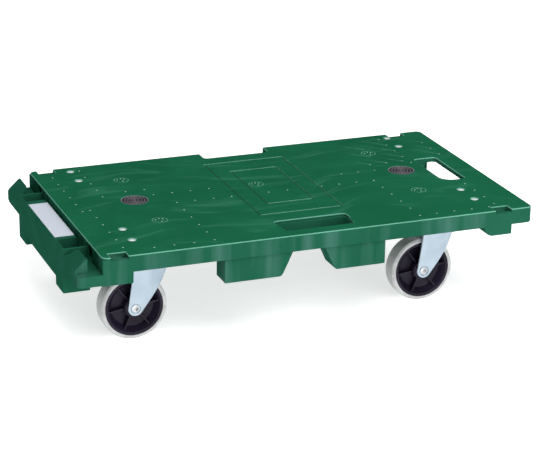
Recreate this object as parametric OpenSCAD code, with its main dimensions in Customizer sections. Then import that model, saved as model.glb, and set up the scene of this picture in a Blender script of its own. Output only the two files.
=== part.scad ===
// Linkable platform dolly: a moulded load deck on four swivel plate casters.
// X runs along the deck to the right, Y to the rear, Z up from the floor.
// The link bar with its two hooks stands off the left end.

/* [Deck] */
// Length of the deck without the link bar
deck_l = 675; // [560:5:900]
// Width of the deck
deck_w = 404; // [336:2:560]
// Height of the rim round the deck
rim_h = 25; // [20:1:32]
// Thickness of the moulded walls
wall = 3.5; // [2.5:0.5:4.5]
// Thickness of the top skin
skin = 3.5; // [2.5:0.5:4.5]
// Thickness of the ribs under the skin
rib = 2.5; // [2:0.5:3.5]
// Largest distance between neighbouring ribs
rib_pitch = 50; // [40:1:80]
// Radius of the deck's corners in plan
corner_r = 9; // [3:1:12]
// Height from the caster seat to the top of the deck
seat_h = 29; // [27:1:40]

/* [Deck openings] */
// Length of the hand slot in the front edge
slot_l = 109; // [90:1:130]
// Width of the hand slot
slot_w = 41; // [34:1:50]
// Width of the grip bar in front of the hand slot
slot_bar = 22; // [18:1:30]
// Depth of the notch in the rear edge
rear_notch = 25.5; // [20:0.5:31]
// Length of the hand hole at the right end
hole_l = 112; // [94:1:135]
// Width of the hand hole at the right end
hole_w = 38; // [32:1:46]
// Width of the grip bar outside the right hand hole
hole_bar = 37; // [30:1:46]
// Distance of the hand hole's middle behind the deck's middle
hole_shift = 8; // [0:1:16]
// Length of the small ledge at each corner
ledge_l = 26; // [20:1:31]
// Depth of the small ledges from the edge
ledge_w = 17; // [13:0.5:21]
// Drop of the small ledges below the top
ledge_drop = 5; // [4:0.5:7]

/* [Legs] */
// Drop of the middle legs below the deck's top
mid_leg_h = 62.5; // [56:0.5:68]
// Length of the left middle leg at the rim
mid_leg_l = 105; // [88:1:120]
// Length of the right middle leg at the rim
right_leg_l = 96; // [80:1:115]
// How much shorter a middle leg is at its foot
mid_leg_slope = 17; // [14:1:21]
// How far the legs stand to the left of the deck's middle
mid_leg_shift = 25; // [20:1:30]
// Gap between the two middle legs at the rim
mid_leg_gap = 50; // [42:1:60]
// Depth of a middle leg from the edge
mid_leg_w = 40; // [34:1:48]
// Drop of the corner blocks at the left end
left_block_h = 42; // [36:1:50]
// Drop of the corner blocks at the right end
right_block_h = 40; // [34:1:48]

/* [Link bar] */
// How far the link bar stands out of the deck's left end
link_reach = 37; // [31:1:45]
// Length of the link bar between its legs' outer faces
bar_l = 250; // [208:1:300]
// Drop of the bar's top edge below the deck's top
bar_drop = 8.5; // [6:0.5:12]
// Drop of the bar's floor below the deck's top
bar_floor = 64; // [58:1:70]
// Drop of the link bar's two legs below the deck's top
bar_leg_h = 77; // [71:1:84]
// Length of each leg along the bar
bar_leg_l = 40; // [33:1:48]
// Thickness of a hook, from its outer face to the channel
hook_t = 19; // [16:1:23]
// Height of the bevel on a hook's outer side
hook_bevel = 16; // [13:1:17]
// Drop of a hook's ridge below the deck's top
hook_drop = 4; // [2:0.5:8]
// Distance of each hook's end from the edge of the deck
hook_y = 14; // [10:1:18]
// Length of the label shelf in the link bar
label_shelf_l = 173; // [144:1:185]

/* [Casters] */
// Diameter over the tyre
wheel_d = 100; // [84:1:125]
// Width of the tyre's tread
tyre_w = 29; // [24:1:35]
// Thickness of the tyre
tyre_t = 6; // [5:0.5:7.5]
// Distance from the swivel axis back to the wheel's axle
trail = 37; // [31:1:44]
// Gap between the tyre and the fork's crown
crown_gap = 10; // [8:0.5:13]
// Thickness of the fork's sheet steel
fork_t = 3; // [2.5:0.5:3.5]
// Clear width between the fork's legs
fork_gap = 36; // [32:1:43]
// Diameter of the wheel's axle
axle_d = 12; // [10:0.5:14]
// Thickness of the top plate
plate_t = 3.5; // [3:0.5:4.5]
// Depth of the pressed bearing cup under the top plate
cup_h = 8; // [7.5:0.5:11]
// Diameter of the swivel pin
pin_d = 10; // [9:0.5:12]
// Diameter of the balls in the upper ring
ball_d = 5; // [4:0.5:6]
// Diameter of the balls in the lower ring
low_ball_d = 4; // [3:0.5:4.5]
// Distance of the left casters' swivel axes from the left end
caster_left = 104; // [90:1:125]
// Distance of the right casters' swivel axes from the right end
caster_right = 110; // [90:1:130]
// Distance of the front casters' swivel axes from the front edge
caster_front = 84; // [70:1:100]
// Distance of the rear casters' swivel axes from the rear edge
caster_rear = 43; // [40:1:60]

/* [Fasteners and trim] */
// Distance of the plate bolts from the swivel axis
bolt_off = 42; // [40:1:46]
// Distance between the two bolts of one plate
bolt_pitch = 46.5; // [40:0.5:52]
// Thread diameter of the plate bolts
bolt_d = 6; // [5:0.5:8]
// Diameter of the flat bolt heads
bolt_head_d = 11; // [9:0.5:14]
// Diameter of the grip pads
pad_d = 42; // [35:1:50]
// Distance between the two grip pads
pad_pitch = 442; // [370:1:530]

/* [Hidden] */
$fn = 64;
FL = "fl";
FR = "fr";
RL = "rl";
RR = "rr";
CORNERS = [FL, FR, RL, RR];
CASTER_PARTS = [
    "plate", "king_pin", "race_cap", "fork", "upper_balls", "lower_balls",
    "axle", "sleeve", "washers", "core", "bush", "tyre"
];

eps = 0.01;
cut = 1;
shaft_play = 0.05;
hole_play = 0.2;
ball_play = 0.25;
part_gap = 0.3;

// Heights, from the floor up through the caster to the deck
wheel_r = wheel_d / 2;
axle_z = wheel_r;
crown_under = wheel_d + crown_gap;
crown_top = crown_under + fork_t;
cup_under = crown_top + ball_d + 2 * ball_play;
plate_under = cup_under + cup_h;
seat_z = plate_under + plate_t;
deck_top = seat_z + seat_h;
skin_z = deck_top - skin;
rim_z = deck_top - rim_h;
ledge_z = deck_top - ledge_drop;

// Places in plan, measured from the deck's front left corner
origin_x = (link_reach - deck_l) / 2;
origin_y = -deck_w / 2;
left_x = caster_left;
right_x = deck_l - caster_right;
front_y = caster_front;
rear_y = deck_w - caster_rear;
mid_x = deck_l / 2;
mid_y = (front_y + rear_y) / 2;

// Deck openings
slot_x = mid_x - slot_l / 2;
hole_x = deck_l - hole_bar - hole_w;
hole_y = deck_w / 2 + hole_shift - hole_l / 2;
small_r = 6;
big_r = 20;
ledge_left = 12;
ledge_right = 36;
peg_l = 6;
hole_lip = 4.5;
hole_back_l = 21;
slot_step = 2.5;
slot_step_drop = 4;

// Middle legs
leg_setback = 3;
toe_r = 7;
toe_steps = 6;

// Caster seats
seat_past_bolt = 12;
seat_beside_bolt = 12.5;
plate_end_in = 2;
plate_side_in = 3;
boss_wall = 2.5;
seat_l = 2 * (bolt_off + seat_past_bolt);
seat_w = bolt_pitch + 2 * seat_beside_bolt;
plate_l = seat_l - 2 * plate_end_in;
plate_w = seat_w - 2 * plate_side_in;
boss_d = bolt_head_d + 2 * boss_wall;
head_drop = 0.3;
head_t = 3;
head_z = deck_top - head_drop - head_t;
clip_t = 3;
clip_grip = 3;

// Plate nuts and the bolts' lower ends
nut_t = 6.5;
nut_af = 1.625 * bolt_d;
past_nut = 2;
bolt_end = plate_under - nut_t - past_nut;

// Ribs under the skin
rib_h = 16;
inner_l = deck_l - 2 * wall;
inner_w = deck_w - 2 * wall;
ribs_x = ceil(inner_l / rib_pitch);
ribs_y = ceil(inner_w / rib_pitch);

// Pattern moulded into the top
groove = 1.5;
groove_w = 3.5;
frame_outer = [132, 251];
frame_inner = [75, 161];
gate_d = 24;
gate_line = 1.5;
gate_depth = 0.4;
gate_in = 21;
gate_out = 42;
pad_h = 2;

// Link bar
bar_y = (deck_w - bar_l) / 2;
bar_top = deck_top - bar_drop;
bar_under = deck_top - bar_floor;
bar_foot = deck_top - bar_leg_h;
bracket_drop = 16;
bracket_z = rim_z - bracket_drop;
bracket_side = 1;
hook_top = deck_top - hook_drop;
hook_end = bar_y + wall / 2;
hook_slant = 24;
ridge_w = 2;
shelf_z = bar_top - 2.5;
shelf_gap = 2;
shelf_shift = 11;
shelf_y = (deck_w - label_shelf_l) / 2 + shelf_shift;
comb_pitch = 27;
comb_depth = 5;
arch_w = 18;
arch_in = 4;
label_in = 0.5;
label_l = 150;
label_w = 30;
label_t = 0.3;

// Corner blocks, which keep clear of the caster plates
block_gap = 2;
left_block_gap = 7;
right_block_in = 34;
right_block_l = 46;
block_round = 15;
left_block = [left_x - plate_l / 2 - left_block_gap, 46];
right_block = [right_block_l, front_y - plate_w / 2 - block_gap];
rear_block = [deck_l - right_block_in - right_x - plate_l / 2 - block_gap, right_block.y];

// Fork
leg_y = fork_gap / 2;
fork_out = leg_y + fork_t;
eye_r = 11;
eye_sink = 1.6;
eye_sink_wall = 1.5;
eye_sink_d = axle_d + 2 * eye_sink_wall;
axle_in = 0.5;
axle_wall = 1.2;
axle_bore_h = 5;
crown_r = 28;
lip_h = 4;
lip_w = 2;
crease = 0.75 * wheel_r - 19.5;
flange_r = 57;
flange_steps = 9;
leg_back = -2;
leg_front = wheel_r + 6;
leg_elbow = wheel_r * [0.8, 0.7];
leg_rise = crown_top - axle_z;

// Swivel head
cup_r = 29;
ball_ring = 21;
race_wall = 2.5;
race_lip = 0.5;
low_ring = pin_d / 2 + race_wall + low_ball_d / 2;
cap_r = low_ring + low_ball_d / 2 + race_lip;
cap_t = 2;
low_gap = low_ball_d + 2 * ball_play;
cap_z = crown_under - low_gap - cap_t;
pin_head_r = pin_d / 2 + 4;
pin_head_t = 3;
balls_up = 16;
balls_low = 12;

// Wheel
core_r = wheel_r - tyre_t;
hub_r = 15;
hub_w = fork_gap - 3;
washer_t = (fork_gap - hub_w) / 2 - part_gap / 2;
washer_r = 11;
sleeve_r = axle_d / 2 + 2;
bush_r = sleeve_r + 2.5;
bore_r = axle_d / 2 + shaft_play;
web_t = 5;
rim_t = 5;
dish_w = 6.5;
dish_r = core_r - rim_t - dish_w;
hub_taper = 1;
core_in = 1;
spokes = 6;
spoke_turn = 8;
spoke_t = 2.4;
spoke_in = 7;
tyre_round = 4;

// ---------- shapes that repeat ----------

module from_corner() {
    translate([origin_x, origin_y, 0]) children();
}

module box(low, high) {
    translate(low) cube(high - low);
}

module round_rect(low, high, r) {
    translate([low.x + r, low.y]) square([high.x - low.x - 2 * r, high.y - low.y]);
    translate([low.x, low.y + r]) square([high.x - low.x, high.y - low.y - 2 * r]);
    for (x = [low.x + r, high.x - r]) {
        for (y = [low.y + r, high.y - r]) {
            translate([x, y]) circle(r);
        }
    }
}

module round_box(low, high, r) {
    translate([0, 0, low.z]) linear_extrude(high.z - low.z) round_rect(low, high, r);
}

module ring(outer_r, inner_r, h) {
    difference() {
        cylinder(r = outer_r, h = h);
        translate([0, 0, -cut]) cylinder(r = inner_r, h = h + 2 * cut);
    }
}

// Repeats its children at the other edge of the deck, front to rear
module front_and_rear() {
    children();
    translate([0, deck_w, 0]) mirror([0, 1, 0]) children();
}

module at_caster(corner) {
    x = corner == FL || corner == RL ? left_x : right_x;
    y = corner == FL || corner == FR ? front_y : rear_y;
    from_corner() translate([x, y, 0]) children();
}

// Bolts sit at the outer end of each plate: -1 at the left end, 1 at the right
function outward(corner) = corner == FL || corner == RL ? -1 : 1;

// ---------- the deck ----------

module deck_shell() {
    difference() {
        round_box([0, 0, rim_z], [deck_l, deck_w, deck_top], corner_r);
        round_box(
            [wall, wall, rim_z - cut], [deck_l - wall, deck_w - wall, skin_z],
            corner_r - wall / 2
        );
    }
}

// Ribs in both directions, with none beneath the grip bar at the right end
module deck_ribs() {
    difference() {
        union() {
            for (i = [1:ribs_x - 1]) {
                x = wall + i * inner_l / ribs_x;
                box([x - rib / 2, wall - eps, skin_z - rib_h], [x + rib / 2, deck_w - wall + eps, skin_z + eps]);
            }
            for (j = [1:ribs_y - 1]) {
                y = wall + j * inner_w / ribs_y;
                box([wall - eps, y - rib / 2, skin_z - rib_h], [deck_l - wall + eps, y + rib / 2, skin_z + eps]);
            }
        }
        box([hole_x, hole_y, rim_z - cut], [deck_l - wall, hole_y + hole_l, deck_top]);
    }
}

// A walled seat with two bolt bosses, and a clip under the plate's inner end
module caster_seat(out) {
    mirror([out < 0 ? 0 : 1, 0, 0]) {
        difference() {
            box([-seat_l / 2, -seat_w / 2, seat_z], [seat_l / 2, seat_w / 2, skin_z + eps]);
            for (x = [-1, 1]) {
                box(
                    [x < 0 ? -seat_l / 2 + wall : rib / 2, -seat_w / 2 + wall, seat_z - cut],
                    [x < 0 ? -rib / 2 : seat_l / 2 - wall, seat_w / 2 - wall, skin_z]
                );
            }
        }
        for (y = [-1, 1]) {
            translate([-bolt_off, y * bolt_pitch / 2, seat_z]) cylinder(d = boss_d, h = skin_z + eps - seat_z);
        }
        box(
            [plate_l / 2 + part_gap, -seat_w / 4, plate_under - clip_t],
            [plate_l / 2 + part_gap + wall, seat_w / 4, skin_z + eps]
        );
        box(
            [plate_l / 2 - clip_grip, -seat_w / 4, plate_under - clip_t],
            [plate_l / 2 + part_gap + eps, seat_w / 4, plate_under - part_gap / 2]
        );
    }
}

module bolt_holes(out) {
    for (y = [-1, 1]) {
        translate([out * bolt_off, y * bolt_pitch / 2, 0]) {
            translate([0, 0, seat_z - cut]) cylinder(d = bolt_d + 2 * hole_play, h = deck_top);
            translate([0, 0, head_z]) cylinder(d = bolt_head_d + 2 * hole_play, h = deck_top);
        }
    }
}

// Outline of a middle leg seen from the front, with its round toe towards the other leg
module mid_leg_outline(length, inset) {
    foot = deck_top - mid_leg_h + inset;
    tilt = atan2(rim_z - foot, mid_leg_slope);
    r = toe_r - inset;
    toe = [length - mid_leg_slope - inset - r * tan(tilt / 2), foot + r];
    polygon(concat(
        [[inset, foot]],
        [
            for (i = [0:toe_steps])
            let (turn = i * tilt / toe_steps - 90)
            toe + r * [cos(turn), sin(turn)]
        ],
        [[length - inset, rim_z], [length - inset, skin_z], [inset, skin_z]]
    ));
}

module mid_leg(length) {
    difference() {
        translate([0, mid_leg_w, 0]) rotate([90, 0, 0])
            linear_extrude(mid_leg_w - leg_setback) mid_leg_outline(length, 0);
        translate([0, mid_leg_w - wall, 0]) rotate([90, 0, 0])
            linear_extrude(mid_leg_w - leg_setback - 2 * wall) mid_leg_outline(length, wall);
    }
}

module mid_legs() {
    gap_x = mid_x - mid_leg_shift;
    translate([gap_x - mid_leg_gap / 2 - mid_leg_l, 0, 0]) mid_leg(mid_leg_l);
    translate([gap_x + mid_leg_gap / 2 + right_leg_l, 0, 0]) mirror([1, 0, 0]) mid_leg(right_leg_l);
}

// A block open at its underside, at an edge of the deck
module corner_block(x, size, drop) {
    difference() {
        box([x, 0, deck_top - drop], [x + size.x, size.y, skin_z + eps]);
        box(
            [x + wall, wall, deck_top - drop - cut],
            [x + size.x - wall, size.y - wall, skin_z]
        );
    }
}

// Outline of a right corner block seen from the front, curved at its inner foot
module block_outline(size, inset) {
    foot = deck_top - right_block_h + inset;
    r = min(block_round, size.x / 2) - inset;
    translate([inset, foot + r]) square([size.x - 2 * inset, skin_z + eps - foot - r]);
    translate([inset + r, foot]) square([size.x - 2 * inset - r, r + eps]);
    translate([inset + r, foot + r]) circle(r);
}

module right_end_block(size) {
    translate([deck_l - right_block_in - size.x, 0, 0]) difference() {
        translate([0, size.y, 0]) rotate([90, 0, 0]) linear_extrude(size.y) block_outline(size, 0);
        translate([0, size.y - wall, 0]) rotate([90, 0, 0])
            linear_extrude(size.y - 2 * wall) block_outline(size, wall);
        box(
            [min(block_round, size.x / 2), wall, deck_top - right_block_h - cut],
            [size.x - wall, size.y - wall, rim_z]
        );
    }
}

module ledge_walls(x) {
    box([x - wall, 0, ledge_z - skin], [x + ledge_l + wall, ledge_w + wall, skin_z + eps]);
}

module ledge_cut(x) {
    box([x, -cut, ledge_z], [x + ledge_l, ledge_w, deck_top + cut]);
    box([x + ledge_l - peg_l, ledge_w / 2, rim_z - cut], [x + ledge_l, ledge_w, deck_top + cut]);
}

module slot_walls() {
    round_box(
        [slot_x - wall, slot_bar - wall, rim_z],
        [slot_x + slot_l + wall, slot_bar + slot_w + wall, skin_z + eps], small_r + wall
    );
    box([slot_x - wall, deck_w - rear_notch - wall, rim_z], [slot_x + slot_l + wall, deck_w, skin_z + eps]);
}

module slot_cuts() {
    round_box([slot_x, slot_bar, rim_z - cut], [slot_x + slot_l, slot_bar + slot_w, deck_top + cut], small_r);
    round_box(
        [slot_x - slot_step, slot_bar + slot_w / 2, deck_top - slot_step_drop],
        [slot_x + slot_l + slot_step, slot_bar + slot_w + slot_step, deck_top + cut], small_r
    );
    round_box(
        [slot_x, deck_w - rear_notch, rim_z - cut],
        [slot_x + slot_l, deck_w + 2 * small_r + cut, deck_top + cut], small_r
    );
}

// Plan of the right hand hole, with its large corner at the front left
module hole_plan(grow) {
    low = [hole_x - grow, hole_y - grow];
    high = [hole_x + hole_w + grow, hole_y + hole_l + grow];
    r = big_r + grow;
    difference() {
        round_rect(low, high, small_r);
        translate([low.x - cut, low.y - cut]) square([r + cut, r + cut]);
    }
    intersection() {
        translate([low.x + r, low.y + r]) circle(r);
        translate(low) square([r + eps, r + eps]);
    }
}

// A low lip round the hole, and one deep wall behind its left part
module hole_walls() {
    translate([0, 0, skin_z - hole_lip]) linear_extrude(hole_lip + eps) hole_plan(wall);
    box(
        [hole_x - wall, hole_y + hole_l, rim_z],
        [hole_x + hole_back_l, hole_y + hole_l + wall, skin_z + eps]
    );
}

module hole_cut() {
    translate([0, 0, rim_z - cut]) linear_extrude(rim_h + 2 * cut) hole_plan(0);
}

// One moulded rectangle in the top, a shallow groove with four straight runs
module top_frame(size) {
    for (y = [-1, 1]) {
        translate([-size.x / 2, y * size.y / 2 - groove_w / 2, deck_top - groove])
            cube([size.x, groove_w, groove + cut]);
    }
    for (x = [-1, 1]) {
        translate([x * size.x / 2 - groove_w / 2, -size.y / 2, deck_top - groove])
            cube([groove_w, size.y, groove + cut]);
    }
}

module gate_mark(x, y) {
    translate([x, y, deck_top - gate_depth]) ring(gate_d / 2, gate_d / 2 - gate_line, gate_depth + cut);
}

module top_pattern() {
    translate([mid_x, mid_y, 0]) {
        top_frame(frame_outer);
        top_frame(frame_inner);
        for (x = [-1, 1]) {
            translate([x * pad_pitch / 2, 0, deck_top - pad_h])
                cylinder(d = pad_d + 2 * hole_play, h = pad_h + cut);
        }
    }
    for (x = [left_x + gate_in, right_x - gate_in]) {
        for (y = [front_y + gate_out, rear_y - gate_out]) {
            gate_mark(x, y);
        }
    }
    gate_mark(mid_x - gate_in, mid_y + gate_in / 2);
}

// ---------- the link bar, moulded in one with the deck ----------

module bar_tub() {
    difference() {
        union() {
            box([-link_reach, bar_y, bar_under], [wall, bar_y + bar_l, bar_top]);
            for (y = [bar_y, bar_y + bar_l - bar_leg_l]) {
                box([-link_reach, y, bar_foot], [wall, y + bar_leg_l, bar_under + eps]);
            }
        }
        box(
            [wall - link_reach, bar_y + wall, bar_under + wall],
            [0, bar_y + bar_l - wall, bar_top + cut]
        );
        for (y = [bar_y, bar_y + bar_l - bar_leg_l]) {
            box(
                [wall - link_reach, y + wall, bar_foot + wall],
                [0, y + bar_leg_l - wall, bar_under + wall + eps]
            );
        }
    }
}

module label_shelf() {
    box([wall - link_reach - eps, shelf_y, shelf_z - wall], [-shelf_gap, shelf_y + label_shelf_l, shelf_z]);
    for (y = [shelf_y, shelf_y + label_shelf_l - wall]) {
        box([wall - link_reach - eps, y, bar_under + wall - eps], [eps, y + wall, shelf_z - wall + eps]);
    }
}

// Section of a hook across the bar: outer face, bevel, ridge and channel side
module hook_section() {
    polygon([
        [-link_reach, bracket_z],
        [-link_reach, hook_top - hook_bevel],
        [hook_t - link_reach - ridge_w, hook_top],
        [hook_t - link_reach, hook_top],
        [hook_t - link_reach, bracket_z]
    ]);
}

module hook_plan() {
    polygon([
        [-link_reach, hook_y],
        [hook_t - link_reach, hook_y],
        [hook_t - link_reach, hook_end - hook_slant],
        [-link_reach, hook_end]
    ]);
}

module hook() {
    difference() {
        intersection() {
            translate([0, bar_y + wall, 0]) rotate([90, 0, 0]) linear_extrude(bar_y) hook_section();
            translate([0, 0, bracket_z - cut]) linear_extrude(2 * rim_h) hook_plan();
        }
        box(
            [wall - link_reach, hook_y + wall, bracket_z - cut],
            [hook_t - link_reach - wall, hook_end - hook_slant - wall, hook_top - hook_bevel - wall]
        );
    }
}

// The bracket that joins a hook to the deck's corner block
module bracket() {
    difference() {
        round_box(
            [bracket_side - link_reach, 0, bracket_z],
            [left_block.x / 2, bar_y + wall, rim_z + eps], small_r
        );
        box(
            [bracket_side + wall - link_reach, wall, bracket_z - cut],
            [-cut, bar_y - wall, rim_z - wall]
        );
    }
}

module arch_cut() {
    z = rim_z + wall;
    arch_y = bar_y - arch_in - arch_w;
    box([-cut, arch_y, z], [wall + cut, arch_y + arch_w, skin_z - arch_w / 2]);
    translate([-cut, arch_y + arch_w / 2, skin_z - arch_w / 2]) rotate([0, 90, 0])
        cylinder(d = arch_w, h = wall + 2 * cut);
}

// Short upright ribs on the deck's left end, inside the link bar
module comb() {
    count = floor((bar_l - 4 * wall) / comb_pitch);
    for (i = [0:count]) {
        y = bar_y + 2 * wall + i * comb_pitch;
        box([-shelf_gap + part_gap, y, rim_z], [eps, y + rib, skin_z]);
    }
}

module deck() {
    color([0.10, 0.38, 0.27]) from_corner() difference() {
        union() {
            deck_shell();
            deck_ribs();
            for (x = [left_x, right_x]) {
                for (y = [front_y, rear_y]) {
                    translate([x, y, 0]) caster_seat(x == left_x ? -1 : 1);
                }
            }
            slot_walls();
            hole_walls();
            front_and_rear() {
                mid_legs();
                corner_block(0, left_block, left_block_h);
                ledge_walls(ledge_left);
                ledge_walls(deck_l - ledge_right - ledge_l);
                bracket();
                hook();
            }
            right_end_block(right_block);
            translate([0, deck_w, 0]) mirror([0, 1, 0]) right_end_block(rear_block);
            bar_tub();
            label_shelf();
            comb();
        }
        slot_cuts();
        hole_cut();
        top_pattern();
        front_and_rear() {
            ledge_cut(ledge_left);
            ledge_cut(deck_l - ledge_right - ledge_l);
            arch_cut();
        }
        for (x = [left_x, right_x]) {
            for (y = [front_y, rear_y]) {
                translate([x, y, 0]) bolt_holes(x == left_x ? -1 : 1);
            }
        }
    }
}

// ---------- pads, label and deck fasteners ----------

module pad(side) {
    color([0.16, 0.13, 0.18]) from_corner()
        translate([mid_x + side * pad_pitch / 2, mid_y, deck_top - pad_h]) cylinder(d = pad_d, h = pad_h);
}

module pad_left() {
    pad(-1);
}

module pad_right() {
    pad(1);
}

module label() {
    color("white") from_corner() box(
        [label_in + wall - link_reach, shelf_y + 2 * wall, shelf_z],
        [label_in + wall - link_reach + label_w, shelf_y + 2 * wall + label_l, shelf_z + label_t]
    );
}

module each_bolt() {
    for (corner = CORNERS) {
        at_caster(corner) for (y = [-1, 1]) {
            translate([outward(corner) * bolt_off, y * bolt_pitch / 2, 0]) children();
        }
    }
}

module deck_bolts() {
    color("silver") each_bolt() {
        translate([0, 0, head_z]) cylinder(d = bolt_head_d, h = head_t);
        translate([0, 0, bolt_end]) cylinder(d = bolt_d, h = head_z - bolt_end + eps);
    }
}

module deck_nuts() {
    color("silver") each_bolt() translate([0, 0, plate_under - nut_t]) difference() {
        cylinder(d = nut_af / cos(30), h = nut_t, $fn = 6);
        translate([0, 0, -cut]) cylinder(d = bolt_d + 2 * shaft_play, h = nut_t + 2 * cut);
    }
}

// ---------- the swivel head ----------

module plate(corner) {
    color([0.75, 0.78, 0.80]) at_caster(corner) {
        difference() {
            union() {
                translate([0, 0, plate_under])
                    linear_extrude(plate_t)
                    round_rect([-plate_l / 2, -plate_w / 2], [plate_l / 2, plate_w / 2], small_r);
                translate([0, 0, cup_under]) cylinder(r = cup_r, h = cup_h + eps);
            }
            translate([0, 0, cup_under + fork_t]) cylinder(r = cup_r - fork_t, h = cup_h + plate_t);
            translate([0, 0, cup_under - cut]) cylinder(r = pin_d / 2 + shaft_play, h = fork_t + 2 * cut);
            for (y = [-1, 1]) {
                translate([outward(corner) * bolt_off, y * bolt_pitch / 2, plate_under - cut])
                    cylinder(d = bolt_d + 2 * hole_play, h = plate_t + 2 * cut);
            }
        }
    }
}

module king_pin(corner) {
    color([0.70, 0.72, 0.74]) at_caster(corner) {
        translate([0, 0, cap_z - pin_head_t]) cylinder(r = pin_head_r, h = pin_head_t);
        translate([0, 0, cap_z - eps]) cylinder(d = pin_d, h = cup_under + fork_t - cap_z + 2 * eps);
        translate([0, 0, cup_under + fork_t]) cylinder(r = pin_head_r, h = pin_head_t);
    }
}

module race_cap(corner) {
    color([0.70, 0.72, 0.74]) at_caster(corner) translate([0, 0, cap_z])
        ring(cap_r, pin_d / 2 + shaft_play, cap_t);
}

module ball_circle(count, ring_r, d) {
    for (i = [0:count - 1]) {
        rotate([0, 0, i * 360 / count]) translate([ring_r, 0, 0]) sphere(d = d, $fn = 32);
    }
}

module upper_balls(corner) {
    color("gainsboro") at_caster(corner) translate([0, 0, crown_top + ball_play + ball_d / 2])
        ball_circle(balls_up, ball_ring, ball_d);
}

module lower_balls(corner) {
    color("gainsboro") at_caster(corner) translate([0, 0, crown_under - ball_play - low_ball_d / 2])
        ball_circle(balls_low, low_ring, low_ball_d);
}

// ---------- the fork ----------

// Point where a line from p touches a circle of radius r round the origin
function tangent_point(p, r, side) =
    let (reach = norm(p), turn = acos(r / reach), bearing = atan2(p.y, p.x))
    r * [cos(bearing + side * turn), sin(bearing + side * turn)];

// Side view of the fork, measured from the axle
module fork_side() {
    back_top = [leg_back, leg_rise];
    circle(eye_r);
    polygon([
        tangent_point(back_top, eye_r - eps, 1),
        back_top,
        [leg_front, leg_rise],
        leg_elbow,
        tangent_point(leg_elbow, eye_r - eps, -1)
    ]);
}

// Points of the flange's curve at radius r, from the crease to the fork's front
function flange_arc(r) =
    let (sweep = asin((leg_front + cut - crease) / flange_r))
    [
        for (i = [0:flange_steps])
        [
            crease + r * sin(i * sweep / flange_steps),
            fork_out - flange_r + r * cos(i * sweep / flange_steps)
        ]
    ];

// Plan of one leg, measured from the axle: flat at the back, curving in at the front
module fork_plan() {
    inner = flange_arc(flange_r - fork_t);
    polygon(concat(
        [[-eye_r - cut, leg_y], [-eye_r - cut, fork_out]],
        flange_arc(flange_r),
        [for (i = [flange_steps:-1:0]) inner[i]]
    ));
}

// The crown's plan joins both legs, round the swivel axis
module crown_plan() {
    translate([trail, 0]) circle(crown_r);
    translate([leg_back, -fork_out]) square([trail - leg_back, 2 * fork_out]);
}

module fork(corner) {
    color([0.74, 0.80, 0.86]) at_caster(corner) translate([-trail, 0, axle_z]) difference() {
        union() {
            intersection() {
                translate([0, fork_out + cut, 0]) rotate([90, 0, 0])
                    linear_extrude(2 * (fork_out + cut)) fork_side();
                translate([0, 0, -2 * eye_r]) linear_extrude(2 * wheel_d) {
                    fork_plan();
                    mirror([0, 1]) fork_plan();
                }
            }
            translate([0, 0, crown_under - axle_z]) linear_extrude(fork_t) crown_plan();
            translate([trail, 0, crown_under - axle_z]) ring(crown_r, crown_r - lip_w, fork_t + lip_h);
        }
        translate([trail, 0, 0]) cylinder(d = pin_d + 2 * shaft_play, h = 2 * wheel_d);
        for (side = [-1, 1]) {
            rotate([side * -90, 0, 0]) {
                cylinder(d = axle_d + 2 * shaft_play, h = fork_out + cut);
                translate([0, 0, fork_out - eye_sink]) cylinder(d = eye_sink_d, h = eye_sink + cut);
            }
        }
    }
}

module on_axle(corner) {
    at_caster(corner) translate([-trail, 0, axle_z]) rotate([90, 0, 0]) children();
}

module axle(corner) {
    color([0.72, 0.75, 0.78]) on_axle(corner) difference() {
        cylinder(d = axle_d, h = 2 * (fork_out - axle_in), center = true);
        for (side = [0, 1]) {
            mirror([0, 0, side]) translate([0, 0, fork_out - axle_in - axle_bore_h])
                cylinder(d = axle_d - 2 * axle_wall, h = axle_bore_h + cut);
        }
    }
}

module sleeve(corner) {
    color([0.62, 0.64, 0.66]) on_axle(corner) translate([0, 0, -leg_y])
        ring(sleeve_r, bore_r, fork_gap);
}

module washers(corner) {
    color([0.66, 0.68, 0.70]) on_axle(corner) for (side = [0, 1]) {
        mirror([0, 0, side]) translate([0, 0, leg_y - washer_t])
            ring(washer_r, sleeve_r + shaft_play, washer_t);
    }
}

// ---------- the wheel ----------

// Half section of the wheel centre: radius against distance from the middle plane
module core_section() {
    polygon([
        [bush_r, -hub_w / 2],
        [hub_r, -hub_w / 2],
        [hub_r + hub_taper, -web_t / 2],
        [dish_r, -web_t / 2],
        [core_r - rim_t, core_in - tyre_w / 2],
        [core_r, core_in - tyre_w / 2],
        [core_r, tyre_w / 2 - core_in],
        [core_r - rim_t, tyre_w / 2 - core_in],
        [dish_r, web_t / 2],
        [hub_r + hub_taper, web_t / 2],
        [hub_r, hub_w / 2],
        [bush_r, hub_w / 2]
    ]);
}

module core(corner) {
    color([0.18, 0.15, 0.20]) on_axle(corner) {
        rotate_extrude($fn = 96) core_section();
        for (i = [0:spokes - 1]) {
            rotate([0, 0, spoke_turn + i * 360 / spokes]) box(
                [hub_r - hub_taper, -spoke_t / 2, spoke_in - tyre_w / 2],
                [core_r - rim_t + hub_taper, spoke_t / 2, tyre_w / 2 - spoke_in]
            );
        }
    }
}

module bush(corner) {
    color([0.85, 0.84, 0.78]) on_axle(corner) translate([0, 0, -hub_w / 2])
        ring(bush_r, sleeve_r + shaft_play, hub_w);
}

// Half section of the tyre, with rounded shoulders
module tyre_section() {
    intersection() {
        translate([core_r, -tyre_w / 2]) square([tyre_t, tyre_w]);
        union() {
            translate([0, -tyre_w / 2]) square([wheel_r - tyre_round, tyre_w]);
            translate([0, tyre_round - tyre_w / 2]) square([wheel_r, tyre_w - 2 * tyre_round]);
            for (side = [-1, 1]) {
                translate([wheel_r - tyre_round, side * (tyre_w / 2 - tyre_round)]) circle(tyre_round);
            }
        }
    }
}

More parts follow.
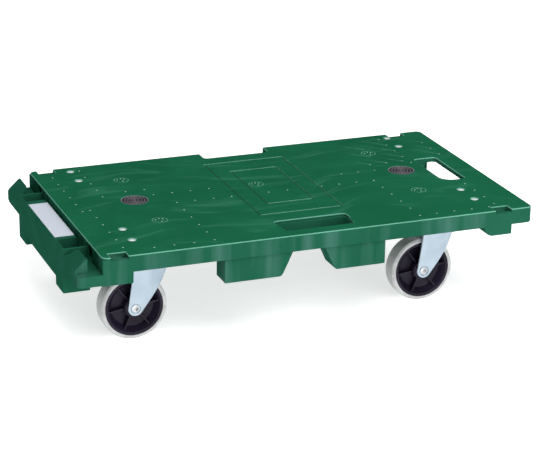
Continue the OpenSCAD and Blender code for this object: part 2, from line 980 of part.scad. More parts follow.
module tyre(corner) {
    color([0.72, 0.70, 0.67]) on_axle(corner) rotate_extrude($fn = 128) tyre_section();
}

// ---------- one line for each node ----------

deck();
pad_left();
pad_right();
label();
deck_bolts();
deck_nuts();
for (corner = CORNERS) {
    plate(corner);
    king_pin(corner);
    race_cap(corner);
    upper_balls(corner);
    lower_balls(corner);
    fork(corner);
    axle(corner);
    sleeve(corner);
    washers(corner);
    core(corner);
    bush(corner);
    tyre(corner);
}
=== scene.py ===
import bpy
import bmesh
import math
from mathutils import Matrix, Vector


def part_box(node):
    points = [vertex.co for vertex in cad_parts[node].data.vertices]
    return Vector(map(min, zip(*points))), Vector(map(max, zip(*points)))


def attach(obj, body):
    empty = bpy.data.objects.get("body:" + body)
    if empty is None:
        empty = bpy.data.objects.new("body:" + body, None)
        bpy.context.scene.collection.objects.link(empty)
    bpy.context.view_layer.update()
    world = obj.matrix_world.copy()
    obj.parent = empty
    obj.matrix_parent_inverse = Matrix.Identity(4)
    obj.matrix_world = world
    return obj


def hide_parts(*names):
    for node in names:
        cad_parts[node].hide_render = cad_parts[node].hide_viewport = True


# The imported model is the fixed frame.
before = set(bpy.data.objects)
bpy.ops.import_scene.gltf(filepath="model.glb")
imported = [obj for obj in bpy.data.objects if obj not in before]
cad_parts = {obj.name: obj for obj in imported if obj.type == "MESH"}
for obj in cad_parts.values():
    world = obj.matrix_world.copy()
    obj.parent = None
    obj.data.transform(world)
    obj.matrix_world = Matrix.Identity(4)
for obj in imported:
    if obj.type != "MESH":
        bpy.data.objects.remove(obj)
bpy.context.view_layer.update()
CASTERS = ("fl", "fr", "rl", "rr")
LEFT_CASTERS = ("fl", "rl")
FRONT_CASTERS = ("fl", "fr")


# ---------- camera ----------
# A long lens on a stand, a little to the left of the dolly's front and above it,
# tipped by less than a degree. It stands for nothing on the object.
CAMERA_AZIMUTH = math.radians(-21.37)
CAMERA_ELEVATION = math.radians(20.0)
CAMERA_ROLL = 0.014
CAMERA_DISTANCE = 2.8465
CAMERA_AIM = Vector((-0.0696, -0.202, 0.1796))
LENS = 132.6
SENSOR_WIDTH = 36

camera_data = bpy.data.cameras.new("camera")
camera_data.lens = LENS
camera_data.sensor_width = SENSOR_WIDTH
camera = bpy.data.objects.new("camera", camera_data)
bpy.context.scene.collection.objects.link(camera)
bpy.context.scene.camera = camera
turn = (
    Matrix.Rotation(CAMERA_AZIMUTH, 4, "Z")
    @ Matrix.Rotation(math.pi / 2 - CAMERA_ELEVATION, 4, "X")
    @ Matrix.Rotation(CAMERA_ROLL, 4, "Z")
)
back = Matrix.Translation((0, 0, CAMERA_DISTANCE))
camera.matrix_world = Matrix.Translation(CAMERA_AIM) @ turn @ back


# ---------- floor and light ----------
# A pale studio floor with a light of its own, a wide soft light over the front, a weak
# one at the left, a low one in front and a sky that is darker below. None of it is part
# of the dolly.
FLOOR_SIZE = 14.0
FLOOR_TONE = 0.86
FLOOR_GLOW = 0.66
SKY_STRENGTH = 0.7
SKY_STOPS = [(0.35, (0.10, 0.11, 0.12)), (0.8, (0.96, 0.98, 1.0))]
# Each light: name, place, what it faces, width and height in metres, power in watts.
LIGHTS = [
    ("softbox", (0.1, -1.5, 2.6), (0, 0, 0.05), (2.6, 1.8), 58),
    ("left_fill", (-2.6, -0.9, 1.1), (0, 0, 0.1), (1.4, 1.4), 2),
    ("front_fill", (0.7, -3.0, 0.8), (0, 0, 0.1), (2.2, 1.0), 40),
]


def area_light(name, place, target, size, power):
    data = bpy.data.lights.new(name, "AREA")
    data.shape = "RECTANGLE"
    data.size, data.size_y = size
    data.energy = power
    lamp = bpy.data.objects.new(name, data)
    bpy.context.scene.collection.objects.link(lamp)
    lamp.location = place
    lamp.rotation_euler = (Vector(target) - Vector(place)).to_track_quat("-Z", "Y").to_euler()


floor_mesh = bpy.data.meshes.new("floor")
half = FLOOR_SIZE / 2
floor_mesh.from_pydata(
    [(-half, -half, 0), (half, -half, 0), (half, half, 0), (-half, half, 0)], [], [(0, 1, 2, 3)]
)
floor = bpy.data.objects.new("floor", floor_mesh)
bpy.context.scene.collection.objects.link(floor)
floor_paint = bpy.data.materials.new("pale_floor")
floor_paint.use_nodes = True
floor_shader = floor_paint.node_tree.nodes["Principled BSDF"]
floor_shader.inputs["Base Color"].default_value = (*[FLOOR_TONE] * 3, 1)
floor_shader.inputs["Emission Color"].default_value = (1.0, 1.0, 1.0, 1)
floor_shader.inputs["Emission Strength"].default_value = FLOOR_GLOW
floor_shader.inputs["Roughness"].default_value = 0.9
floor_shader.inputs["Specular IOR Level"].default_value = 0.1
floor_mesh.materials.append(floor_paint)

for light in LIGHTS:
    area_light(*light)
sky = bpy.data.worlds.new("sky")
sky.use_nodes = True
background = sky.node_tree.nodes["Background"]
background.inputs["Strength"].default_value = SKY_STRENGTH
sky_place = sky.node_tree.nodes.new("ShaderNodeTexCoord")
sky_split = sky.node_tree.nodes.new("ShaderNodeSeparateXYZ")
sky_ramp = sky.node_tree.nodes.new("ShaderNodeValToRGB")
for element, (place, tint) in zip(sky_ramp.color_ramp.elements, SKY_STOPS):
    element.position = place
    element.color = (*tint, 1)
sky.node_tree.links.new(sky_place.outputs["Generated"], sky_split.inputs[0])
sky.node_tree.links.new(sky_split.outputs["Z"], sky_ramp.inputs["Fac"])
sky.node_tree.links.new(sky_ramp.outputs["Color"], background.inputs["Color"])
bpy.context.scene.world = sky
bpy.context.scene.view_settings.view_transform = "Standard"


# ---------- deck ----------
# The load deck is one injection moulding in green polypropylene: skin, rim, ribs, legs,
# link bar and hooks. Its edges are rounded and the melt's flow shows as pale swirls.
DECK_EDGE = 0.0012
SMALL_EDGE = 0.0003
SHARP = math.radians(28)
CHAIN = math.radians(35)
SMOOTH_LIMIT = math.radians(20)
FLAT = math.radians(0.4)
SAME_SPOT = 1e-5
ROOM = 2.2


class Wire:
    """A shader value. Sums and products of wires add the Math nodes that they need."""

    def __init__(self, tree, socket):
        self.tree = tree
        self.socket = socket

    def node(self, kind, settings, values, output=0):
        made = self.tree.nodes.new(kind)
        for key, value in settings.items():
            setattr(made, key, value)
        for key, value in values.items():
            if isinstance(value, Wire):
                self.tree.links.new(value.socket, made.inputs[key])
            else:
                made.inputs[key].default_value = value
        return Wire(self.tree, made.outputs[output])

    def maths(self, operation, *values):
        return self.node("ShaderNodeMath", {"operation": operation}, dict(enumerate(values)))

    def __add__(self, other):
        return self.maths("ADD", self, other)

    def __radd__(self, other):
        return self.maths("ADD", other, self)

    def __sub__(self, other):
        return self.maths("SUBTRACT", self, other)

    def __rsub__(self, other):
        return self.maths("SUBTRACT", other, self)

    def __mul__(self, other):
        return self.maths("MULTIPLY", self, other)

    def __rmul__(self, other):
        return self.maths("MULTIPLY", other, self)

    def __truediv__(self, other):
        return self.maths("DIVIDE", self, other)

    def __gt__(self, other):
        return self.maths("GREATER_THAN", self, other)

    def __lt__(self, other):
        return self.maths("LESS_THAN", self, other)

    def noise(self, scale, detail=2.0, distortion=0.0):
        return self.node(
            "ShaderNodeTexNoise", {},
            {"Vector": self, "Scale": scale, "Detail": detail, "Distortion": distortion},
        )

    def stretched(self, scale):
        return self.node("ShaderNodeMapping", {}, {"Vector": self, "Scale": scale})

    def axis(self, letter):
        return self.node("ShaderNodeSeparateXYZ", {}, {"Vector": self}, letter)

    def span(self, low, high):
        """0 where the value is low, 1 where it is high, held at the ends."""
        return self.node(
            "ShaderNodeMapRange", {},
            {"Value": self, "From Min": low, "From Max": high, "To Min": 0.0, "To Max": 1.0},
        )

    def tint(self, low, high):
        """A colour between two others, by this value."""
        return self.mix((*low, 1), (*high, 1))

    def over(self, colour, under):
        """This mask lays a colour over another one."""
        return self.mix(under, (*colour, 1))

    def mix(self, low, high):
        """Between two wires or colours with alpha, by this value."""
        return self.node(
            "ShaderNodeMix", {"data_type": "RGBA"}, {"Factor": self, 6: low, 7: high}, 2
        )

    def bumps(self, distance, strength=1.0):
        return self.node(
            "ShaderNodeBump", {}, {"Height": self, "Distance": distance, "Strength": strength}
        )


def finish_made(name, constants):
    """A new material: constants on the shader's sockets, and a wire of object coordinates."""
    made = bpy.data.materials.new(name)
    made.use_nodes = True
    tree = made.node_tree
    shader = tree.nodes["Principled BSDF"]
    for key, value in constants.items():
        shader.inputs[key].default_value = value
    place = Wire(tree, tree.nodes.new("ShaderNodeTexCoord").outputs["Object"])

    def wear(**varying):
        for key, wire in varying.items():
            tree.links.new(wire.socket, shader.inputs[key.replace("_", " ")])

    return made, place, wear


def grained(name, constants, scale, low, high, rough, spread):
    """A material of one fine grain that varies its colour and its roughness."""
    made, at, wear = finish_made(name, constants)
    grain = at.noise(scale, 2.0)
    wear(Base_Color=grain.tint(low, high), Roughness=rough + grain * spread)
    return made


def cad_mesh(node):
    """A CAD node's mesh with its doubles merged and its flat faces whole again."""
    shape = bmesh.new()
    shape.from_mesh(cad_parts[node].data)
    bmesh.ops.remove_doubles(shape, verts=shape.verts, dist=SAME_SPOT)
    bmesh.ops.dissolve_limit(shape, angle_limit=FLAT, verts=shape.verts, edges=shape.edges)
    bmesh.ops.recalc_face_normals(shape, faces=shape.faces)
    return shape


def is_sharp(edge):
    return len(edge.link_faces) == 2 and edge.is_convex and edge.calc_face_angle(0) > SHARP


def has_room(edge, width):
    """True where a bevel of this width stays inside its neighbours."""
    for end in edge.verts:
        along = (edge.other_vert(end).co - end.co).normalized()
        for other in end.link_edges:
            if other is edge:
                continue
            heading = (other.other_vert(end).co - end.co).normalized()
            runs_on = heading.angle(-along, 0) < CHAIN
            if not runs_on and other.calc_length() < ROOM * width:
                return False
    return True


def round_edges(shape, width, steps=2):
    """Rounds the sharp edges that stand out and have room for it."""
    chosen = [edge for edge in shape.edges if is_sharp(edge) and has_room(edge, width)]
    bmesh.ops.bevel(
        shape, geom=chosen, offset=width, offset_type="OFFSET", segments=steps,
        profile=0.5, affect="EDGES", clamp_overlap=False,
    )


def piece(name, shape, finish, body, slot, *nodes):
    """Makes a mesh object of a shape, rides it on a body and lets it stand for CAD nodes."""
    if isinstance(shape, bmesh.types.BMesh):
        mesh = bpy.data.meshes.new(name)
        bmesh.ops.triangulate(shape, faces=[f for f in shape.faces if len(f.verts) > 4])
        shape.to_mesh(mesh)
        shape.free()
        old_normals = mesh.attributes.get("custom_normal")
        if old_normals:
            mesh.attributes.remove(old_normals)
    else:
        mesh = shape
        mesh.name = name
    mesh.shade_smooth()
    mesh.materials.clear()
    mesh.materials.append(finish)
    made = bpy.data.objects.new(name, mesh)
    bpy.context.scene.collection.objects.link(made)
    mesh.set_sharp_from_angle(angle=SMOOTH_LIMIT)
    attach(made, body)
    if nodes:
        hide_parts(*nodes)
    return made


def keep_inside(shape, node):
    """Moves back the few points that rounding has pushed past a CAD node's box."""
    low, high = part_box(node)
    for vertex in shape.verts:
        for i in range(3):
            vertex.co[i] = min(max(vertex.co[i], low[i]), high[i])


# The top's own colour starts this far below its highest point, and the sides below it get a
# darker copy of the green as painted shade. The pale band of painted highlight under the top
# edges is this high, and the front face alone gets pale streaks that are flow blotches and also
# a painted reflection.
TOP_BAND = 0.003
EDGE_HIGHLIGHT_BAND = 0.0014
FRONT_BAND = 0.045
deck_low, deck_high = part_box("deck")
green, at, wear = finish_made("deck_green", {"Specular IOR Level": 0.0})
on_top = at.axis("Z").span(deck_high.z - TOP_BAND, deck_high.z - TOP_BAND / 3)
bend = at.node("ShaderNodeTexNoise", {}, {"Vector": at, "Scale": 3.2}, 1)
bent = at.node("ShaderNodeVectorMath", {"operation": "SCALE"}, {0: bend, "Scale": 0.22})
swirl = at.noise(5.0, 3.0, 1.6)
streaks = at.node("ShaderNodeVectorMath", {"operation": "ADD"}, {0: at, 1: bent})
streaks = streaks.stretched((9.0, 46.0, 6.0)).noise(1.0, 4.0, 0.6)
marks = streaks.span(0.54, 0.70) * on_top
# Pale streaks on the front face: flow blotches, and also a painted reflection of the bright
# floor, since this plastic has no specular of its own.
front_streaks_and_sheen = at.stretched((34.0, 34.0, 2.5)).noise(1.0, 3.0).span(0.46, 0.7) * (1.0 - on_top)
front_streaks_and_sheen = front_streaks_and_sheen * (at.axis("Y") < deck_low.y + FRONT_BAND)
# The sides are a darker copy of the top's green: painted shade.
top_colour = swirl.span(0.3, 0.7).tint((0.0085, 0.100, 0.047), (0.0125, 0.128, 0.062))
painted_shade_side = swirl.span(0.3, 0.7).tint((0.009, 0.080, 0.044), (0.016, 0.100, 0.060))
shade = on_top.mix(painted_shade_side, top_colour)
shade = (marks * 0.38).over((0.045, 0.205, 0.13), shade)
shade = (front_streaks_and_sheen * 0.24).over((0.14, 0.27, 0.25), shade)
# A pale band just under the top edges: a painted highlight on the rounded edges and groove
# walls.
edge = (at.axis("Z") > deck_high.z - EDGE_HIGHLIGHT_BAND) * (at.axis("Z") < deck_high.z - EDGE_HIGHLIGHT_BAND / 20)
shade = (edge * (0.45 + swirl * 0.5)).over((0.17, 0.42, 0.33), shade)
wear(
    Base_Color=shade,
    Roughness=0.38 + marks * 0.10 + swirl * 0.1,
    Normal=(streaks * 0.6 + at.noise(420.0, 2.0) * 0.4).bumps(0.0004, 0.2),
)

deck_shape = cad_mesh("deck")
round_edges(deck_shape, DECK_EDGE)
round_edges(deck_shape, SMALL_EDGE, 1)
keep_inside(deck_shape, "deck")
piece("deck_moulding", deck_shape, green, "deck", "deck_plastic", "deck")

# ---------- pips and flow ribs on the deck ----------
# Ejector pips and gate dots of the same plastic, low domes in straight runs on the top,
# painted a pale near-white green as a painted highlight of the glints on their tips,
# and the long thin ribs that the melt left at the rear right. All are part of the moulding.
MM = 0.001
LINK_REACH = 0.037
PIP_R = 0.0013
PIP_H = 0.0002
RIB_W = 0.0016
RIB_H = 0.0003
GATE_SPREAD = 0.0058
GATE_IN = 0.021
GATE_REAR = 0.042
MIDDLE_GATE = (-0.021, 0.0105)
GATE_DOTS = [(-1, 0.4), (0.1, 1), (0.2, -1), (0.9, 0.5)]
# Each run: first pip from the deck's front left corner in mm, step in mm, count.
PIP_RUNS = [
    ((27, 231), (0, 33), 5), ((40, 34), (0, 33), 6), ((75, 252), (0, 32.5), 5),
    ((173, 21), (0, 34), 6), ((496, 19), (0, 34), 6), ((590, 253), (0, 32), 5),
    ((625, 31), (0, 33), 4), ((652, 279), (0, 32), 3), ((82, 20), (30, 0), 3),
    ((524, 20), (29, 0), 4), ((202, 191), (29.5, 0), 3), ((321, 191), (31, 0), 2),
    ((409, 191), (29.4, 0), 4), ((151, 236), (29.6, 0), 4), ((461, 236), (28.6, 0), 3),
    ((115, 264), (30, 0), 2), ((523, 264), (28.5, 0), 3), ((28, 198), (0, 1), 1),
]
# Each rib: where it ends, from the same corner in mm, and its length in mm.
FLOW_RIBS = [
    ((590, 285), 62), ((590, 317), 78), ((590, 349), 66), ((590, 381), 24),
    ((652, 279), 56), ((652, 311), 48), ((652, 343), 40), ((523, 264), 44),
    ((552, 264), 50), ((580, 264), 46), ((540, 300), 66), ((545, 338), 60),
]
FLOW_HEADING = (-math.sqrt(0.5), math.sqrt(0.5))

corner = Vector((deck_low.x + LINK_REACH, deck_low.y, deck_high.z))


def on_deck(spot, lift=0.0):
    return corner + Vector((spot[0] * MM, spot[1] * MM, lift))


def lathe(profile, steps=96, axis="Z", centre=(0, 0, 0)):
    """A closed solid of revolution from a closed profile of (radius, height) points."""
    shape = bmesh.new()
    rows = []
    for step in range(steps):
        angle = 2 * math.pi * step / steps
        across, along = math.cos(angle), math.sin(angle)
        row = []
        for radius, height in profile:
            if axis == "Z":
                spot = Vector((radius * across, radius * along, height))
            else:
                spot = Vector((radius * across, height, radius * along))
            row.append(shape.verts.new(spot + Vector(centre)))
        rows.append(row)
    count = len(profile)
    for step in range(steps):
        here, there = rows[step], rows[(step + 1) % steps]
        for i in range(count):
            j = (i + 1) % count
            shape.faces.new((here[i], here[j], there[j], there[i]))
    bmesh.ops.remove_doubles(shape, verts=shape.verts, dist=1e-6)
    bmesh.ops.dissolve_degenerate(shape, edges=shape.edges, dist=1e-7)
    bmesh.ops.recalc_face_normals(shape, faces=shape.faces)
    return shape


def hidden_object(name, shape):
    """A helper shape for a node tree. It is removed again when the copies are made."""
    mesh = bpy.data.meshes.new(name)
    shape.to_mesh(mesh)
    shape.free()
    made = bpy.data.objects.new(name, mesh)
    bpy.context.scene.collection.objects.link(made)
    return made


def copies(name, spots, shape, finish, turns=None):
    """One plain mesh of a shape repeated at each spot, turned where turns are given."""
    points = bpy.data.meshes.new(name + "_points")
    points.from_pydata([tuple(spot) for spot in spots], [], [])
    facing = points.attributes.new("facing", "FLOAT_VECTOR", "POINT")
    for item, turned in zip(facing.data, turns or [(0, 0, 0)] * len(spots)):
        item.vector = turned
    holder = bpy.data.objects.new(name + "_holder", points)
    bpy.context.scene.collection.objects.link(holder)
    shape_object = hidden_object(name + "_shape", shape)

    tree = bpy.data.node_groups.new(name + "_copies", "GeometryNodeTree")
    tree.is_modifier = True
    socket = tree.interface.new_socket
    socket("Points", in_out="INPUT", socket_type="NodeSocketGeometry")
    shape_input = socket("Shape", in_out="INPUT", socket_type="NodeSocketObject")
    finish_input = socket("Finish", in_out="INPUT", socket_type="NodeSocketMaterial")
    socket("Copies", in_out="OUTPUT", socket_type="NodeSocketGeometry")
    entry = tree.nodes.new("NodeGroupInput")
    leaving = tree.nodes.new("NodeGroupOutput")
    info = tree.nodes.new("GeometryNodeObjectInfo")
    place = tree.nodes.new("GeometryNodeInstanceOnPoints")
    heading = tree.nodes.new("GeometryNodeInputNamedAttribute")
    heading.data_type = "FLOAT_VECTOR"
    heading.inputs["Name"].default_value = "facing"
    real = tree.nodes.new("GeometryNodeRealizeInstances")
    paint = tree.nodes.new("GeometryNodeSetMaterial")
    for source, target in [
        (entry.outputs["Shape"], info.inputs["Object"]),
        (entry.outputs["Points"], place.inputs["Points"]),
        (info.outputs["Geometry"], place.inputs["Instance"]),
        (heading.outputs["Attribute"], place.inputs["Rotation"]),
        (place.outputs["Instances"], real.inputs["Geometry"]),
        (real.outputs["Geometry"], paint.inputs["Geometry"]),
        (entry.outputs["Finish"], paint.inputs["Material"]),
        (paint.outputs["Geometry"], leaving.inputs["Copies"]),
    ]:
        tree.links.new(source, target)
    modifier = holder.modifiers.new("copies", "NODES")
    modifier.node_group = tree
    modifier[shape_input.identifier] = shape_object
    modifier[finish_input.identifier] = finish
    bpy.context.view_layer.update()
    seen = holder.evaluated_get(bpy.context.evaluated_depsgraph_get())
    result = bpy.data.meshes.new_from_object(seen)
    bpy.data.objects.remove(holder)
    bpy.data.objects.remove(shape_object)
    return result


def dome(radius, height, skirt, rings=6):
    """Profile of a low dome with a short skirt below it."""
    curve = [
        (radius * math.cos(i * math.pi / 2 / rings), height * math.sin(i * math.pi / 2 / rings))
        for i in range(rings + 1)
    ]
    return [(0.0, -skirt), (radius, -skirt)] + curve


# The pips' pale colour is a painted highlight: the glints on their domes.
pip_green = grained(
    "pip_green", {"Coat Weight": 0.6}, 300.0, (0.30, 0.55, 0.45), (0.48, 0.72, 0.62), 0.16, 0.1
)

spots = [
    on_deck((first[0] + i * step[0], first[1] + i * step[1]))
    for first, step, count in PIP_RUNS for i in range(count)
]
gates = []
for caster in CASTERS:
    low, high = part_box("plate_" + caster)
    inward = 1 if caster in LEFT_CASTERS else -1
    rearward = 1 if caster in FRONT_CASTERS else -1
    middle = (low + high) / 2
    gates.append(
        Vector((middle.x + inward * GATE_IN, middle.y + rearward * GATE_REAR, corner.z))
    )
pad_low, pad_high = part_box("pad_left")
far_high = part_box("pad_right")[1]
gates.append(Vector((
    (pad_low.x + far_high.x) / 2 + MIDDLE_GATE[0],
    (pad_low.y + pad_high.y) / 2 + MIDDLE_GATE[1],
    corner.z,
)))
for gate in gates:
    for across, along in GATE_DOTS:
        spots.append(gate + Vector((across * GATE_SPREAD, along * GATE_SPREAD, 0)))
piece(
    "deck_pips", copies("pips", spots, lathe(dome(PIP_R, PIP_H, PIP_H), 20), pip_green),
    pip_green, "deck", "deck_plastic",
)

rib_shape = bmesh.new()
for end, length in FLOW_RIBS:
    tip = on_deck(end)
    heading = Vector((*FLOW_HEADING, 0))
    side = Vector((-heading.y, heading.x, 0)) * RIB_W / 2
    tail = tip + heading * length * MM
    up = Vector((0, 0, RIB_H))
    low = [tip + side - up, tip - side - up, tail - up]
    top = [tip + up, tail - up * 0.2]
    made = [rib_shape.verts.new(spot) for spot in low + top]
    for face in ((0, 1, 2), (0, 3, 1), (1, 3, 4), (1, 4, 2), (0, 2, 4), (0, 4, 3)):
        rib_shape.faces.new([made[i] for i in face])
bmesh.ops.recalc_face_normals(rib_shape, faces=rib_shape.faces)
flow_green = grained("flow_green", {}, 160.0, (0.05, 0.22, 0.14), (0.09, 0.30, 0.21), 0.34, 0.1)
piece("deck_flow_ribs", rib_shape, flow_green, "deck", "deck_plastic")


# ---------- grip pads ----------
# Two round pads of dark rubber pressed into pockets in the top, with raised rings whose
# crests are painted pale grey: partly scuffed, partly a painted highlight on the ridges.
RING_COUNT = 4
RING_WIDTH = 0.0013
PAD_BASE = 0.55
PAD_SHOULDER = 0.92
PAD_EDGE = 0.0004
PAD_RIM = 0.0016
PAD_CENTRE = 0.0022
CREST_FROM = 0.95

rubber, at, wear = finish_made("pad_rubber", {"Specular IOR Level": 0.4})
crest = at.node("ShaderNodeAttribute", {"attribute_name": "crest"}, {}, 2)
dust_and_crest_highlight = at.noise(380.0, 3.0)
# Ring crests: scuffed pale and a painted highlight.
wear(
    Base_Color=(crest * (0.55 + dust_and_crest_highlight * 0.45)).tint((0.010, 0.007, 0.012), (0.20, 0.18, 0.21)),
    Roughness=0.5 + dust_and_crest_highlight * 0.2,
    Normal=dust_and_crest_highlight.bumps(0.0003, 0.3),
)
for name in ("pad_left", "pad_right"):
    low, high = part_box(name)
    radius = (high.x - low.x) / 2
    height = high.z - low.z
    top = [(radius, 0.0), (radius, height * PAD_SHOULDER), (radius - PAD_EDGE, height)]
    pitch = (radius - PAD_CENTRE) / RING_COUNT
    for i in range(RING_COUNT):
        outer = radius - PAD_RIM - i * pitch
        inner = outer - pitch + RING_WIDTH
        top += [
            (outer, height), (outer - PAD_EDGE, height * PAD_BASE),
            (inner, height * PAD_BASE), (inner - PAD_EDGE, height),
        ]
    profile = [(0.0, 0.0)] + top + [(0.0, height)]
    middle = ((low.x + high.x) / 2, (low.y + high.y) / 2, low.z)
    shape = lathe(profile, 72, "Z", middle)
    pad = piece(name + "_rings", shape, rubber, "deck", "pad_rubber", name)
    mark = pad.data.attributes.new("crest", "FLOAT", "POINT")
    for item, vertex in zip(mark.data, pad.data.vertices):
        item.value = 1.0 if vertex.co.z > low.z + height * CREST_FROM else 0.0


# ---------- label ----------
# A white paper label stuck on the link bar's shelf, ruled in pale grey with no lettering.
paper, at, wear = finish_made("label_paper", {"Specular IOR Level": 0.3})
low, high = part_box("label")
along = at.axis("Y").span(low.y, high.y)
across = at.axis("X").span(low.x, high.x)
rule = (across * 5.0).maths("FRACT") > 0.55
broken = at.stretched((90.0, 110.0, 1.0)).noise(1.0, 1.0) > 0.47
inside = (along > 0.06) * (along < 0.9) * (across > 0.08) * (across < 0.9)
bars = ((along * 120.0).maths("FRACT") > 0.5) * (along < 0.2) * (across > 0.15) * (across < 0.6)
fibre = at.noise(260.0, 2.0)
sheet_white = fibre.tint((0.56, 0.60, 0.68), (0.66, 0.70, 0.77))
printed = (rule * broken * inside * 0.85).over((0.12, 0.12, 0.17), sheet_white)
wear(Base_Color=(bars * 0.5).over((0.16, 0.16, 0.2), printed), Roughness=0.45 + fibre * 0.2)
piece("label_sheet", cad_mesh("label"), paper, "deck", "label_paper", "label")


# ---------- bolts, nuts and the fixed swivel parts ----------
# Zinc-plated steel: eight low-domed bolts through the deck, their nuts, the caster
# plates, the riveted king pins and the race caps.
zinc, at, wear = finish_made("zinc_plate", {"Metallic": 0.9})
flakes = at.noise(90.0, 3.0)
haze = at.noise(14.0, 2.0)
wear(
    Base_Color=(flakes * 0.6 + haze * 0.4).tint((0.42, 0.45, 0.49), (0.72, 0.75, 0.79)),
    Roughness=0.24 + flakes * 0.2,
    Normal=flakes.bumps(0.0002, 0.2),
)
# The bolt heads are painted near white and made only a little metallic: a painted highlight of
# the glints on their domes, over the zinc's own colour.
bolt_head_glint_paint = grained(
    "bolt_head_zinc", {"Metallic": 0.25}, 140.0,
    (0.74, 0.78, 0.80), (0.92, 0.94, 0.94), 0.18, 0.14,
)
for name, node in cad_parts.items():
    if name.startswith(("plate_", "king_pin_", "race_cap_", "deck_nuts")):
        node.data.materials.clear()
        node.data.materials.append(zinc)

low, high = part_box("deck_bolts")
BOLT_OFF = 0.042
BOLT_PITCH = 0.0465
HEAD_CROWN = 0.0012
HEAD_EDGE = 0.0006
HEAD_T = 0.003
SHANK_SHARE = 0.545
bolt_spots = []
for caster in CASTERS:
    plate_low, plate_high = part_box("plate_" + caster)
    middle = (plate_low + plate_high) / 2
    outward = -1 if caster in LEFT_CASTERS else 1
    for side in (-1, 1):
        bolt_spots.append(
            Vector((middle.x + outward * BOLT_OFF, middle.y + side * BOLT_PITCH / 2, high.z))
        )
head_r = bolt_spots[0].x - low.x
shank_r = head_r * SHANK_SHARE
shank_end = low.z - high.z
profile = [
    (0.0, shank_end), (shank_r - HEAD_EDGE, shank_end), (shank_r, shank_end + HEAD_EDGE),
    (shank_r, -HEAD_T), (head_r, -HEAD_T), (head_r, -HEAD_CROWN),
]
profile += [
    (head_r * math.cos(i * math.pi / 10), -HEAD_CROWN + HEAD_CROWN * math.sin(i * math.pi / 10))
    for i in range(1, 6)
]
piece(
    "bolts", copies("bolts", bolt_spots, lathe(profile, 32), bolt_head_glint_paint),
    bolt_head_glint_paint, "deck", "zinc", "deck_bolts",
)


# ---------- forks ----------
# Pressed steel forks with a bright bluish zinc finish: the crown over the balls, two legs
# with a crease and a curved flange, and sunk eyes for the axle. All edges are broken.
FORK_EDGE = 0.0006
AXLE_EDGE = 0.0003

fork_zinc, at, wear = finish_made("fork_zinc", {"Metallic": 0.55, "Specular IOR Level": 0.6})
cloud = at.noise(26.0, 3.0, 0.5)
drawn = at.stretched((60.0, 60.0, 6.0)).noise(1.0, 2.0)
tone = cloud * 0.65 + drawn * 0.35
wear(
    Base_Color=tone.span(0.3, 0.7).tint((0.30, 0.38, 0.45), (0.48, 0.56, 0.63)),
    Roughness=0.34 + cloud * 0.16,
    Normal=at.noise(240.0, 2.0).bumps(0.0002, 0.2),
)
steel = grained(
    "ball_steel", {"Metallic": 1.0}, 120.0, (0.52, 0.53, 0.55), (0.68, 0.69, 0.71), 0.12, 0.12
)
axle_steel = grained(
    "axle_steel", {"Metallic": 0.75}, 150.0, (0.60, 0.62, 0.63), (0.82, 0.83, 0.84), 0.25, 0.15
)
bush_white = grained("bush_nylon", {}, 200.0, (0.62, 0.60, 0.52), (0.74, 0.72, 0.64), 0.4, 0.15)

for caster in CASTERS:
    shape = cad_mesh("fork_" + caster)
    round_edges(shape, FORK_EDGE)
    piece(
        "pressed_fork_" + caster, shape, fork_zinc, "fork_body_" + caster, "fork_zinc",
        "fork_" + caster,
    )
    shape = cad_mesh("axle_" + caster)
    round_edges(shape, AXLE_EDGE, 1)
    piece(
        "axle_pin_" + caster, shape, axle_steel, "fork_body_" + caster, "axle_steel",
        "axle_" + caster,
    )
    for name, finish in (
        ("upper_balls_", steel), ("lower_balls_", steel), ("sleeve_", axle_steel),
        ("washers_", axle_steel), ("bush_", bush_white),
    ):
        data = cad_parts[name + caster].data
        data.materials.clear()
        data.materials.append(finish)


# ---------- wheels ----------
# A wheel is a dark glossy plastic centre with six thin ribs on each side, a recessed web
# and a rolled rim, and a pale grey rubber tyre pressed on it.
RIM_T = 0.005
RIM_LIP = 0.0012
RIM_LIP_IN = 0.0008
DISH_W = 0.0065
HUB_R = 0.015
HUB_FOOT = 0.016
WEB_HALF = 0.0025
SPOKES = 6
SPOKE_TURN = math.radians(8)
SPOKE_T = 0.0024
SPOKE_IN = 0.002
SPOKE_EDGE = 0.0005
SPOKE_SINK = 0.0006
TYRE_OVER = 0.001
BEAD = 0.0005
BEAD_STEP = 0.0006
BEAD_W = 0.0012
BEAD_END = 0.0018
TREAD_EDGE = 0.003

core_dark, at, wear = finish_made("wheel_centre", {"Specular IOR Level": 0.16})
grain = at.noise(330.0, 3.0)
cloud = at.noise(22.0, 2.0)
wear(
    Base_Color=cloud.span(0.3, 0.7).tint((0.008, 0.006, 0.014), (0.018, 0.013, 0.028)),
    Roughness=0.24 + grain * 0.16,
    Normal=grain.bumps(0.0003, 0.25),
)
tyre_grey, at, wear = finish_made("tyre_grey", {"Specular IOR Level": 0.4})
scuff = at.noise(70.0, 4.0, 0.4)
wear(
    Base_Color=scuff.span(0.35, 0.68).tint((0.42, 0.42, 0.42), (0.55, 0.56, 0.56)),
    Roughness=0.42 + scuff * 0.2,
    Normal=at.noise(500.0, 2.0).bumps(0.0002, 0.25),
)


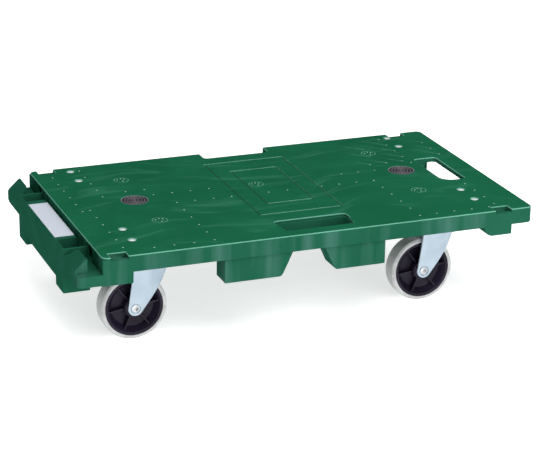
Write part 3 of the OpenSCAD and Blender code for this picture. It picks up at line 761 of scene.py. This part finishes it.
def filleted(corners, steps=5):
    """A closed profile whose corners are rounded: each corner is (radius, height, fillet)."""
    points = []
    count = len(corners)
    for i, (x, y, fillet) in enumerate(corners):
        here = Vector((x, y))
        if fillet <= 0:
            points.append((x, y))
            continue
        before = (Vector(corners[i - 1][:2]) - here).normalized()
        after = (Vector(corners[(i + 1) % count][:2]) - here).normalized()
        reach = fillet / math.tan(before.angle(after) / 2)
        first, last = here + before * reach, here + after * reach
        out = fillet / math.sin(before.angle(after) / 2)
        middle = here + (before + after).normalized() * out
        for step in range(steps + 1):
            share = step / steps
            spot = (first - middle).lerp(last - middle, share).normalized() * fillet + middle
            points.append((spot.x, spot.y))
    return points


def mirrored(half):
    """A closed profile from its half on one side of the middle plane."""
    return half + [(x, -y, fillet) for x, y, fillet in reversed(half)]


for caster in CASTERS:
    low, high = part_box("core_" + caster)
    tyre_low, tyre_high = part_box("tyre_" + caster)
    bush_low, bush_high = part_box("bush_" + caster)
    middle = (low + high) / 2
    core_r = (high.x - low.x) / 2
    hub_half = (high.y - low.y) / 2
    bore = (bush_high.x - bush_low.x) / 2
    tyre_r = (tyre_high.x - tyre_low.x) / 2
    tyre_half = (tyre_high.y - tyre_low.y) / 2
    core_half = tyre_half - TYRE_OVER
    dish_r = core_r - RIM_T - DISH_W
    # Each corner of a half profile is (radius, height from the middle, fillet).
    half_core = [
        (bore, -hub_half, 0.0003), (HUB_R, -hub_half, 0.0008), (HUB_FOOT, -WEB_HALF, 0.0012),
        (dish_r, -WEB_HALF, 0.0022), (core_r - RIM_T, -core_half + RIM_LIP, 0.0006),
        (core_r - RIM_T + RIM_LIP_IN, -core_half, 0.0006), (core_r, -core_half, 0.0),
    ]
    shape = lathe(filleted(mirrored(half_core)), 128, "Y", middle)
    rib = bmesh.new()
    bmesh.ops.create_cube(rib, size=1.0)
    length = core_r - RIM_T - HUB_R + 2 * SPOKE_SINK
    rib.transform(
        Matrix.Translation((HUB_R - SPOKE_SINK + length / 2, 0, 0))
        @ Matrix.Diagonal((length, 2 * (core_half - SPOKE_IN), SPOKE_T, 1))
    )
    bmesh.ops.bevel(
        rib, geom=rib.edges[:], offset=SPOKE_EDGE, offset_type="OFFSET", segments=2,
        profile=0.5, affect="EDGES",
    )
    ribs = copies(
        "ribs_" + caster, [middle] * SPOKES, rib, core_dark,
        [(0, -(SPOKE_TURN + i * 2 * math.pi / SPOKES), 0) for i in range(SPOKES)],
    )
    shape.from_mesh(ribs)
    piece(
        "wheel_centre_" + caster, shape, core_dark, "wheel_" + caster, "core_plastic",
        "core_" + caster,
    )

    half_tyre = [
        (core_r, -tyre_half + BEAD_STEP, 0.0003), (core_r + BEAD_W, -tyre_half, 0.0004),
        (core_r + BEAD_END, -tyre_half + BEAD, 0.0002),
        (tyre_r - TREAD_EDGE, -tyre_half + BEAD, 0.0015),
        (tyre_r, -tyre_half + TREAD_EDGE, 0.0025),
    ]
    shape = lathe(filleted(mirrored(half_tyre)), 128, "Y", middle)
    piece(
        "tyre_ring_" + caster, shape, tyre_grey, "wheel_" + caster, "tyre_rubber",
        "tyre_" + caster,
    )
